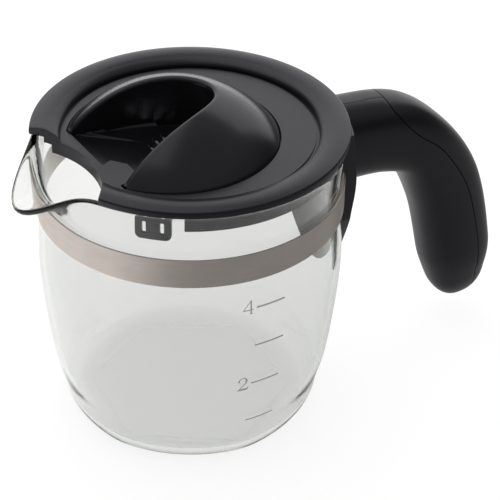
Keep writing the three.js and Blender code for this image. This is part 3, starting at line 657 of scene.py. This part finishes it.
lid = {"radius": 57.45, "turn": 4.3, "seat": 116.8, "rimTop": 119.5, "crown": 0.6, "inner": 46.4, "discTop": 116.5,
       "discLow": 114.5, "groove": 1.2, "grooveLow": 116.0, "rimRoot": 44.6, "rimCorner": 0.9, "underCorner": 0.5,
       "crownPull": 52.6, "rollStart": (49.6, 119.45), "rollPull": (46.75, 118.75), "rollEnd": 116.9,
       "biteRadius": 38.0, "biteX": -78.3, "biteWall": 2.2, "biteWallLow": 111.1, "biteWallTrim": 2.7,
       "biteEdge": 0.3, "biteEdgeLow": 115.0, "biteEdgeReach": 0.06, "skirt": 52.2, "skirtWall": 2.0,
       "skirtLow": 109.1, "skirtTop": 115.2, "skirtHalfAngle": 122.3, "loopAngle": 134.0, "loopHalfAngle": 12.0,
       "loopHalfWidth": 6.2, "loopLow": 104.9, "loopTop": 115.5, "loopWall": 1.3, "loopBar": 2.2, "loopCorner": 1.9,
       "loopEdge": 0.3, "loopEdgeTop": 114.0, "windowWidth": 1.5, "windowHeight": 4.6, "windowCorner": 0.35,
       "hoodX": -7.0, "opening": 38.5, "openingShift": (0.2, 0.2), "ledgeThickness": 1.2,
       "ledge": [(-46.0, -24.0), (-38.8, -24.0), (-38.6, -19.1), (-30.1, -18.2), (-30.1, -8.2), (-34.0, -3.3),
                 (-38.0, -4.9), (-38.0, 19.1), (-38.8, 24.0), (-46.0, 24.0)],
       "openingSpan": (110, 120), "steps": 200, "biteSteps": 240, "trimSteps": 160, "skirtSteps": 150, "loopSteps": 24,
       "crownSteps": 21, "rollSteps": 13, "cornerSteps": 5, "loopCornerSteps": 8, "windowSteps": 4}
lidSpan = (90, 140)  # heights past the lid and its hood, for what cuts right through them


def rimProfile():  # from the underside round the edge, over the crown and down the inner roll
    top, low, outer = lid["rimTop"], lid["seat"], lid["radius"]
    big, small = lid["rimCorner"], lid["underCorner"]
    edge = Vector((outer - big, top))
    pull, roll = Vector((lid["crownPull"], top + 2 * lid["crown"])), Vector(lid["rollStart"])
    crown = [tuple(quadratic(edge, pull, roll, w)) for w in spreadEven(0, 1, lid["crownSteps"])[1:-1]]
    pull, foot = Vector(lid["rollPull"]), Vector((lid["inner"], lid["rollEnd"]))
    crown += [tuple(quadratic(roll, pull, foot, w)) for w in spreadEven(0, 1, lid["rollSteps"])]
    return ([(lid["rimRoot"], lid["discLow"]), (lid["skirt"], lid["discLow"]), (lid["skirt"], low)]
            + roundOutline(outer - small, low + small, small, lid["cornerSteps"], -90, 90)
            + roundOutline(outer - big, top - big, big, lid["cornerSteps"], 0, 90)
            + crown + [(lid["inner"], lid["grooveLow"]), (lid["rimRoot"], lid["grooveLow"])])


def biteEnd(radius):  # the angle at which a circle about the axis meets the bite
    cosine = (radius ** 2 + lid["biteX"] ** 2 - lid["biteRadius"] ** 2) / (2 * radius * lid["biteX"])
    return math.acos(max(-1, min(1, cosine)))


def rimSolid():
    profile = rimProfile()
    count = len(profile)

    def place(u, v):
        r, z = profile[round(v * count) % count]
        angle = (2 * u - 1) * biteEnd(r)
        return Vector((r * math.cos(angle), r * math.sin(angle), z))
    bm = wrappedSheet(lid["steps"], count, place)
    tidyMesh(bm)
    return closeEnds(bm)


def arcSolid(radius, wall, middle, halfAngle, low, high, count):
    outline = roundOutline(0, 0, radius, count, middle - halfAngle, 2 * halfAngle)
    outline += list(reversed(roundOutline(0, 0, radius - wall, count, middle - halfAngle, 2 * halfAngle)))
    return pillar(outline, low, high)


def biteSolid(extra, low, high):
    return pillar(roundOutline(lid["biteX"], 0, lid["biteRadius"] + extra, lid["biteSteps"]), low, high)


def loopSolid(side):
    half, low, corner = lid["loopHalfWidth"], lid["loopLow"], lid["loopCorner"]
    under, over, near, far = 2, 0.5, 40, 60  # past the loop's foot and top, and radii past both its faces
    arc = arcSolid(lid["skirt"], lid["loopWall"], 0, lid["loopHalfAngle"], low - under, lid["loopTop"],
                   lid["loopSteps"])
    loop = toObject("loopShape", arc)
    outline = [(half, lid["loopTop"] + over), (-half, lid["loopTop"] + over)]
    outline += roundOutline(-half + corner, low + corner, corner, lid["loopCornerSteps"], 180, 90)
    outline += roundOutline(half - corner, low + corner, corner, lid["loopCornerSteps"], 270, 90)
    combine(loop, alongX(pillar(outline, near, far)), "INTERSECT")
    softenEdges(loop, lid["loopEdge"], minAngle=50, pick=lambda p: p.z < lid["loopEdgeTop"])
    inset = lid["windowCorner"]
    wide, bottom = lid["windowWidth"] / 2 - inset, low + lid["loopBar"] + inset
    top = bottom + lid["windowHeight"] - 2 * inset
    for hand in (-1, 1):
        middle = hand * half / 2
        slot = []
        for across, up, start in ((wide, bottom, 270), (wide, top, 0), (-wide, top, 90), (-wide, bottom, 180)):
            slot += roundOutline(middle + across, up, inset, lid["windowSteps"], start, 90)
        combine(loop, alongX(pillar(slot, near, far)), "DIFFERENCE")
    return turnMesh(takeMesh(loop), side * lid["loopAngle"], "Z")


def discSolid():
    disc = toObject("discShape", pillar(roundOutline(0, 0, lid["inner"] - lid["groove"], lid["steps"]),
                                        lid["discLow"], lid["discTop"]))
    shiftX, shiftY = lid["openingShift"]
    hole = roundOutline(lid["hoodX"] + shiftX, shiftY, lid["opening"], lid["steps"])
    opening = toObject("openingShape", pillar(hole, *lid["openingSpan"]))
    combine(opening, biteSolid(lid["biteWall"], *lidSpan), "DIFFERENCE")
    combine(opening, pillar(lid["ledge"], lid["discTop"] - lid["ledgeThickness"], lidSpan[1]), "DIFFERENCE")
    combine(disc, takeMesh(opening), "DIFFERENCE")
    combine(disc, biteSolid(0, *lidSpan), "DIFFERENCE")
    return disc


def makeLidCover():
    cover = discSolid()
    cover.name = "lidCover"
    wall = toObject("biteWallShape", biteSolid(lid["biteWall"], lid["biteWallLow"], lid["discTop"]))
    combine(wall, biteSolid(0, *lidSpan), "DIFFERENCE")
    within = roundOutline(0, 0, lid["skirt"] - lid["biteWallTrim"], lid["trimSteps"])
    combine(wall, pillar(within, *lidSpan), "INTERSECT")
    combine(cover, takeMesh(wall), "UNION")
    skirt = arcSolid(lid["skirt"], lid["skirtWall"], 0, lid["skirtHalfAngle"], lid["skirtLow"], lid["skirtTop"],
                     lid["skirtSteps"])
    combine(cover, skirt, "UNION")
    combine(cover, rimSolid(), "UNION")
    for side in (-1, 1):
        combine(cover, loopSolid(side), "UNION")
    combine(cover, biteSolid(0, *lidSpan), "DIFFERENCE")

    def onBite(p):
        aside = abs(math.hypot(p.x - lid["biteX"], p.y) - lid["biteRadius"])
        return aside < lid["biteEdgeReach"] and p.z > lid["biteEdgeLow"]
    softenEdges(cover, lid["biteEdge"], minAngle=40, pick=onBite)
    turnAbout(cover, lid["turn"])
    finishPiece(cover, satinBlack, "lid", ["lid_cover"], smoothAngle=32)


makeLidCover()


# the glossy hood and its drip bowl

hood = {"x": -7.0, "radius": 38.2, "height": 18.45, "foot": 116.5, "wall": 2.2, "flange": 41.2,
        "flangeTop": 114.2, "flangeLow": 112.4, "lip": 1.5, "bowlTop": 115.0, "bowlLow": 111.0, "mouthWall": 3.0,
        "mouth": [(-36.7, 19.6), (-19.0, 17.7), (8.1, 13.1), (8.1, 0.0)], "front": -45.2,
        "drainX": -7.5, "drainRadius": 8.8, "slotWidth": 1.1, "slotPitch": 3.6, "slotMargin": 0.4, "slots": 5,
        "hollowFrom": 1.0, "hollowRun": 5.0, "leastHollow": 0.05, "backLimit": 0.4, "frontLimit": 0.6,
        "dish": 2.5, "dishRadius": 33.0, "dishRise": 0.3, "fit": 0.3, "endTurn": 82.0, "endCut": 0.9,
        "steps": 120, "endSteps": 6, "wallRows": 10, "lipRows": 11, "domeRows": 26, "hollowRows": 10,
        "floorSteps": 91, "dishSteps": 96, "slotSteps": 12}
ballRadius = (hood["radius"] ** 2 + hood["height"] ** 2) / (2 * hood["height"])
ballCentre = Vector((hood["x"], 0, hood["foot"] + hood["height"] - ballRadius))


def mouthPoint(u, grow):  # u runs from the near front, round the far end, to the front again
    hand = -1 if u < 0.5 else 1
    w = 2 * u if u < 0.5 else 2 - 2 * u
    a, b, c, d = [Vector((x + (grow if k > 1 else 0), y + (grow if k < 3 else 0)))
                  for k, (x, y) in enumerate(hood["mouth"])]
    spot = cubic(a, b, c, d, w)
    return Vector((spot.x, hand * spot.y))


def domeHeight(plan, radius):  # plan is measured from the hood's middle
    return ballCentre.z + math.sqrt(max(radius ** 2 - plan.length_squared, 0))


def hoodSection(u):  # one closed section: up the mouth's wall, over the lip, down the dome and back inside
    lip, low = hood["lip"], hood["bowlLow"]
    middle = ballCentre.xy
    spot = mouthPoint(u, lip) - middle
    step = 0.002
    along = (mouthPoint(min(u + step, 1), lip) - mouthPoint(max(u - step, 0), lip)).normalized()
    outward = Vector((along.y, -along.x, 0))
    crest = (spot + middle).to_3d() + Vector((0, 0, domeHeight(spot, ballRadius - lip)))
    up = (crest - ballCentre).normalized()
    inner = crest - outward * lip
    section = [Vector((inner.x, inner.y, z)) for z in spreadEven(low, crest.z, hood["wallRows"])[:-1]]
    section += [crest + (-outward).slerp(up, w) * lip for w in spreadEven(0, 1, hood["lipRows"])]
    ridge = section[-1].xy - middle
    foot = ridge.normalized() * hood["radius"]

    def raised(plan, z):
        section.append(Vector((plan.x + middle.x, plan.y + middle.y, z)))
    for w in spreadEven(0, 1, hood["domeRows"])[1:]:
        raised(ridge.lerp(foot, w), domeHeight(ridge.lerp(foot, w), ballRadius))
    raised(foot, hood["flangeTop"])
    raised(foot * hood["flange"] / hood["radius"], hood["flangeTop"])
    raised(foot * hood["flange"] / hood["radius"], hood["flangeLow"])
    start = inner.xy - middle  # below, a hollow between the dome and the mouth's wall that closes towards the front
    gap = (foot - start).length
    room = gap - hood["mouthWall"] - hood["wall"] - hood["hollowFrom"]
    share = lerp(hood["leastHollow"], 1, min(max(room / hood["hollowRun"], 0), 1))
    back, front = min(hood["mouthWall"] / gap, hood["backLimit"]), max(1 - hood["wall"] / gap, hood["frontLimit"])
    raised(start.lerp(foot, front), hood["flangeLow"])
    for w in spreadEven(front, back, hood["hollowRows"]):
        plan = start.lerp(foot, w)
        raised(plan, lerp(hood["flangeLow"], domeHeight(plan, ballRadius - hood["wall"]), share))
    raised(start.lerp(foot, back), low)
    return section, crest, outward, along.to_3d()


def roundedEnd(section, crest, outward, along, hand):  # the lip's end closes in like a fingertip
    rows = []
    for k in range(1, hood["endSteps"] + 1):
        turn = k / hood["endSteps"] * math.radians(hood["endTurn"])
        row = []
        for point in section:
            aside = (point - crest).dot(outward)
            moved = point - outward * aside * (1 - math.cos(turn)) + along * hand * hood["lip"] * math.sin(turn)
            moved.z = min(point.z, crest.z + (point.z - crest.z) * math.cos(turn))
            row.append(moved)
        rows.append(row)
    return rows


def makeFunnel():
    made = [hoodSection(k / hood["steps"]) for k in range(hood["steps"] + 1)]
    rows = list(reversed(roundedEnd(*made[0], -1))) + [part[0] for part in made] + roundedEnd(*made[-1], 1)
    count, last = len(rows[0]), len(rows) - 1
    bm = wrappedSheet(last, count, lambda u, v: rows[round(u * last)][round(v * count) % count])
    tidyMesh(bm)
    for (_, crest, _, along), hand in ((made[0], -1), (made[-1], 1)):
        tip = crest + along * hand * hood["lip"] * hood["endCut"]
        bmesh.ops.bisect_plane(bm, geom=bm.verts[:] + bm.edges[:] + bm.faces[:], dist=1e-7, plane_co=tip * mm,
                               plane_no=along * hand, clear_outer=True)
    funnel = toObject("lidFunnel", closeEnds(bm))
    outline = [tuple(mouthPoint(u, hood["lip"])) for u in spreadEven(0, 1, hood["floorSteps"])]
    outline += [(hood["front"], outline[-1][1]), (hood["front"], outline[0][1])]
    floor = toObject("floorShape", pillar(outline, hood["bowlLow"], hood["bowlTop"]))
    top, over = hood["bowlTop"], hood["bowlTop"] + 1  # over is a height past the floor
    low = top - hood["dish"]
    dish = spinProfile([(0, low), (hood["drainRadius"], low + hood["dishRise"]), (hood["dishRadius"], top),
                        (hood["dishRadius"], over), (0, over)], hood["dishSteps"], centre=(hood["drainX"], 0))
    combine(floor, dish, "DIFFERENCE")
    for k in range(hood["slots"]):
        x = hood["drainX"] + (k - (hood["slots"] - 1) / 2) * hood["slotPitch"]
        end = hood["slotWidth"] / 2
        reach = math.sqrt(hood["drainRadius"] ** 2 - (x - hood["drainX"]) ** 2) - hood["slotMargin"] - end
        slot = roundOutline(x, reach, end, hood["slotSteps"], 0, 180)
        slot += roundOutline(x, -reach, end, hood["slotSteps"], 180, 180)
        combine(floor, pillar(slot, *lidSpan), "DIFFERENCE")
    combine(funnel, takeMesh(floor), "UNION")
    combine(funnel, biteSolid(lid["biteWall"] + hood["fit"], *lidSpan), "DIFFERENCE")
    within = roundOutline(0, 0, lid["skirt"] - lid["skirtWall"] - hood["fit"], lid["steps"])
    combine(funnel, pillar(within, *lidSpan), "INTERSECT")
    turnAbout(funnel, lid["turn"])
    finishPiece(funnel, glossBlack, "lid", ["lid_funnel"], smoothAngle=40)


makeFunnel()


# printed cup marks on the near side of the glass

marks = {"proud": 0.04, "lines": [(75.97, -91.6, -79.8, 0.75), (59.4, -92.0, -80.0, 0.72),
                                  (41.15, -92.4, -80.4, 0.66), (21.75, -93.1, -80.4, 0.6)],
         "numerals": [("4", 76.6, -95.0, 5.7, 4.0), ("2", 41.5, -95.7, 6.2, 4.3)]}
numeralShapes = {  # outlines in a box one unit wide and one unit high
    "4": [[(0.62, 0), (0.98, 0), (0.98, 0.045), (0.87, 0.06), (0.87, 0.27), (1.0, 0.27), (1.0, 0.34),
           (0.87, 0.34), (0.87, 1.0), (0.78, 1.0), (0.02, 0.34), (0.02, 0.27), (0.72, 0.27), (0.72, 0.06),
           (0.62, 0.045)],
          [(0.12, 0.34), (0.72, 0.86), (0.72, 0.34)]],
    "2": [[(0.04, 0), (0.92, 0), (1.0, 0.26), (0.95, 0.26), (0.88, 0.13), (0.26, 0.13), (0.62, 0.4),
           (0.82, 0.55), (0.9, 0.72), (0.84, 0.87), (0.7, 0.96), (0.48, 1.0), (0.26, 0.97), (0.12, 0.88),
           (0.06, 0.76), (0.08, 0.68), (0.16, 0.64), (0.23, 0.68), (0.23, 0.76), (0.2, 0.84), (0.28, 0.92),
           (0.45, 0.95), (0.6, 0.92), (0.7, 0.83), (0.72, 0.7), (0.68, 0.57), (0.52, 0.42), (0.04, 0.06)]]}


def flatFigure(rings):
    curve = bpy.data.curves.new("figure", "CURVE")
    curve.dimensions, curve.fill_mode = "2D", "BOTH"
    for ring in rings:
        line = curve.splines.new("POLY")
        line.points.add(len(ring) - 1)
        line.use_cyclic_u = True
        for point, (x, y) in zip(line.points, ring):
            point.co = (x, y, 0, 1)
    holder = bpy.data.objects.new("figure", curve)
    scene.collection.objects.link(holder)
    mesh = bpy.data.meshes.new_from_object(holder.evaluated_get(bpy.context.evaluated_depsgraph_get()))
    bpy.data.objects.remove(holder)
    bm = bmesh.new()
    bm.from_mesh(mesh)
    bpy.data.meshes.remove(mesh)
    return bm


def makeMarks():
    bm = bmesh.new()

    def wrap(flat, angle, height, wide, tall):  # bends a flat figure round the glass
        bmesh.ops.triangulate(flat, faces=flat.faces)
        bmesh.ops.subdivide_edges(flat, edges=flat.edges, cuts=1, use_grid_fill=True)
        for vert in flat.verts:
            z = height + vert.co.y * tall
            spot = (jugRadius(z), z, marks["proud"], 0, sixSided(jug["hexOutside"], z))
            out = jugPoint(spot, math.radians(angle) + vert.co.x * wide / jugRadius(z))
            vert.co = out * mm
        mesh = bpy.data.meshes.new("mark")
        flat.to_mesh(mesh)
        flat.free()
        bm.from_mesh(mesh)
        bpy.data.meshes.remove(mesh)
    for height, start, end, thickness in marks["lines"]:
        strip = bmesh.new()
        bmesh.ops.create_grid(strip, x_segments=24, y_segments=1, size=0.5)
        wrap(strip, (start + end) / 2, height, math.radians(end - start) * jugRadius(height), thickness)
    for figure, height, angle, tall, wide in marks["numerals"]:
        flat = flatFigure(numeralShapes[figure])
        bmesh.ops.translate(flat, verts=flat.verts, vec=(-0.5, -0.5, 0))
        wrap(flat, angle, height, wide, tall)
    bmesh.ops.recalc_face_normals(bm, faces=bm.faces)
    finishPiece(toObject("cupMarks", bm), greyEnamel, "jug")


makeMarks()


# floor, light and camera

stage = {"floorSize": 6.0, "floorDrop": 0.0002, "floorColour": (0.22, 0.22, 0.22), "floorRoughness": 0.9,
         "floorGlow": 0.83, "glassMirror": 0.35,  # how much of the pale studio the glass mirrors
         "poolWay": (0.45, -0.89, 0), "backEdge": -0.05, "frontEdge": 0.1, "glossBack": 0.85, "glossFront": 0.13,
         "worldFill": 0.72, "shadeLow": 0.15, "shadeHigh": 0.75, "glossLow": 0.03, "glossHigh": 0.4}
lamps = {"topLamp": {"place": (-0.25, 0.25, 0.9), "target": (0, 0, 0.06), "power": 2.2, "size": (0.9, 0.9)},
         "backLamp": {"place": (0.24, 0.44, 0.34), "target": (0, 0, 0.1), "power": 2.15, "size": (1.1, 0.6)}}
view = {"turn": -26.0, "lift": 35.17, "distance": 0.65, "target": (0, 0, 0.0645), "sensor": 36.0,
        "focalPixels": 1734.9, "imageWidth": 500, "shift": (0.12, -0.0014), "clip": (0.01, 20)}


def seenPale(nodes, path):  # the camera and what shows through glass see the pale studio
    seen = nodes.maths("MAXIMUM", path["Is Camera Ray"], path["Is Transmission Ray"])
    mirrored = nodes.maths("MULTIPLY", path["Is Singular Ray"], stage["glassMirror"])
    return nodes.maths("MAXIMUM", seen, mirrored)


def makeFloor():
    bm = bmesh.new()
    bmesh.ops.create_grid(bm, x_segments=1, y_segments=1, size=stage["floorSize"] / 2)
    bmesh.ops.translate(bm, verts=bm.verts, vec=(0, 0, -stage["floorDrop"]))
    floor = toObject("floor", bm)
    finish = Finish("paleFloor")
    path = finish.add("ShaderNodeLightPath").outputs
    glow = finish.maths("MULTIPLY", seenPale(finish, path), stage["floorGlow"])
    pool = finish.span(finish.along(finish.place(), stage["poolWay"]), stage["glossBack"], stage["glossFront"],
                       stage["backEdge"], stage["frontEdge"])  # what gloss and metal see, paler at the back
    shine = finish.maths("MULTIPLY", path["Is Glossy Ray"], pool)
    finish.set(Base_Color=(*stage["floorColour"], 1), Roughness=stage["floorRoughness"], Specular_IOR_Level=0.0,
               Emission_Color=(1, 1, 1, 1), Emission_Strength=finish.maths("MAXIMUM", glow, shine))
    floor.data.materials.append(finish.material)


def makeWorld():
    world = bpy.data.worlds.new("studio")
    scene.world = world
    world.use_nodes = True
    nodes = Nodes(world.node_tree)
    path = nodes.add("ShaderNodeLightPath").outputs
    rise = nodes.along(nodes.add("ShaderNodeTexCoord").outputs["Generated"], (0, 0, 1))
    shade = nodes.span(rise, stage["glossLow"], stage["glossHigh"], stage["shadeLow"], stage["shadeHigh"],
                       interpolation_type="SMOOTHSTEP")
    seen = seenPale(nodes, path)
    gloss = nodes.maths("MULTIPLY", path["Is Glossy Ray"], shade)
    plain = nodes.maths("MULTIPLY", nodes.maths("SUBTRACT", 1.0, path["Is Glossy Ray"]), stage["worldFill"])
    other = nodes.maths("MULTIPLY", nodes.maths("ADD", gloss, plain), nodes.maths("SUBTRACT", 1.0, seen))
    back = world.node_tree.nodes["Background"]
    nodes.feed(back.inputs["Strength"], nodes.maths("ADD", seen, other))
    nodes.feed(back.inputs["Color"], (1, 1, 1, 1))


def makeLamp(name, place, target, power, size):
    lamp = bpy.data.lights.new(name, "AREA")
    lamp.shape, lamp.energy = "RECTANGLE", power
    lamp.size, lamp.size_y = size
    made = bpy.data.objects.new(name, lamp)
    made.location = place
    made.rotation_euler = (Vector(target) - Vector(place)).to_track_quat("-Z", "Y").to_euler()
    made.visible_camera = made.visible_transmission = False
    scene.collection.objects.link(made)


def makeCamera():
    lens = bpy.data.cameras.new("photoCamera")
    lens.sensor_width = view["sensor"]
    lens.lens = view["sensor"] * view["focalPixels"] / view["imageWidth"]
    lens.shift_x, lens.shift_y = view["shift"]
    lens.clip_start, lens.clip_end = view["clip"]
    camera = bpy.data.objects.new("photoCamera", lens)
    turn, lift = math.radians(view["turn"]), math.radians(view["lift"])
    away = Vector((math.sin(turn) * math.cos(lift), -math.cos(turn) * math.cos(lift), math.sin(lift)))
    camera.location = Vector(view["target"]) + away * view["distance"]
    camera.rotation_euler = (-away).to_track_quat("-Z", "Y").to_euler()
    scene.collection.objects.link(camera)
    scene.camera = camera


makeFloor()
makeWorld()
for lampName, lampLook in lamps.items():
    makeLamp(lampName, **lampLook)
makeCamera()
print("stage ready")
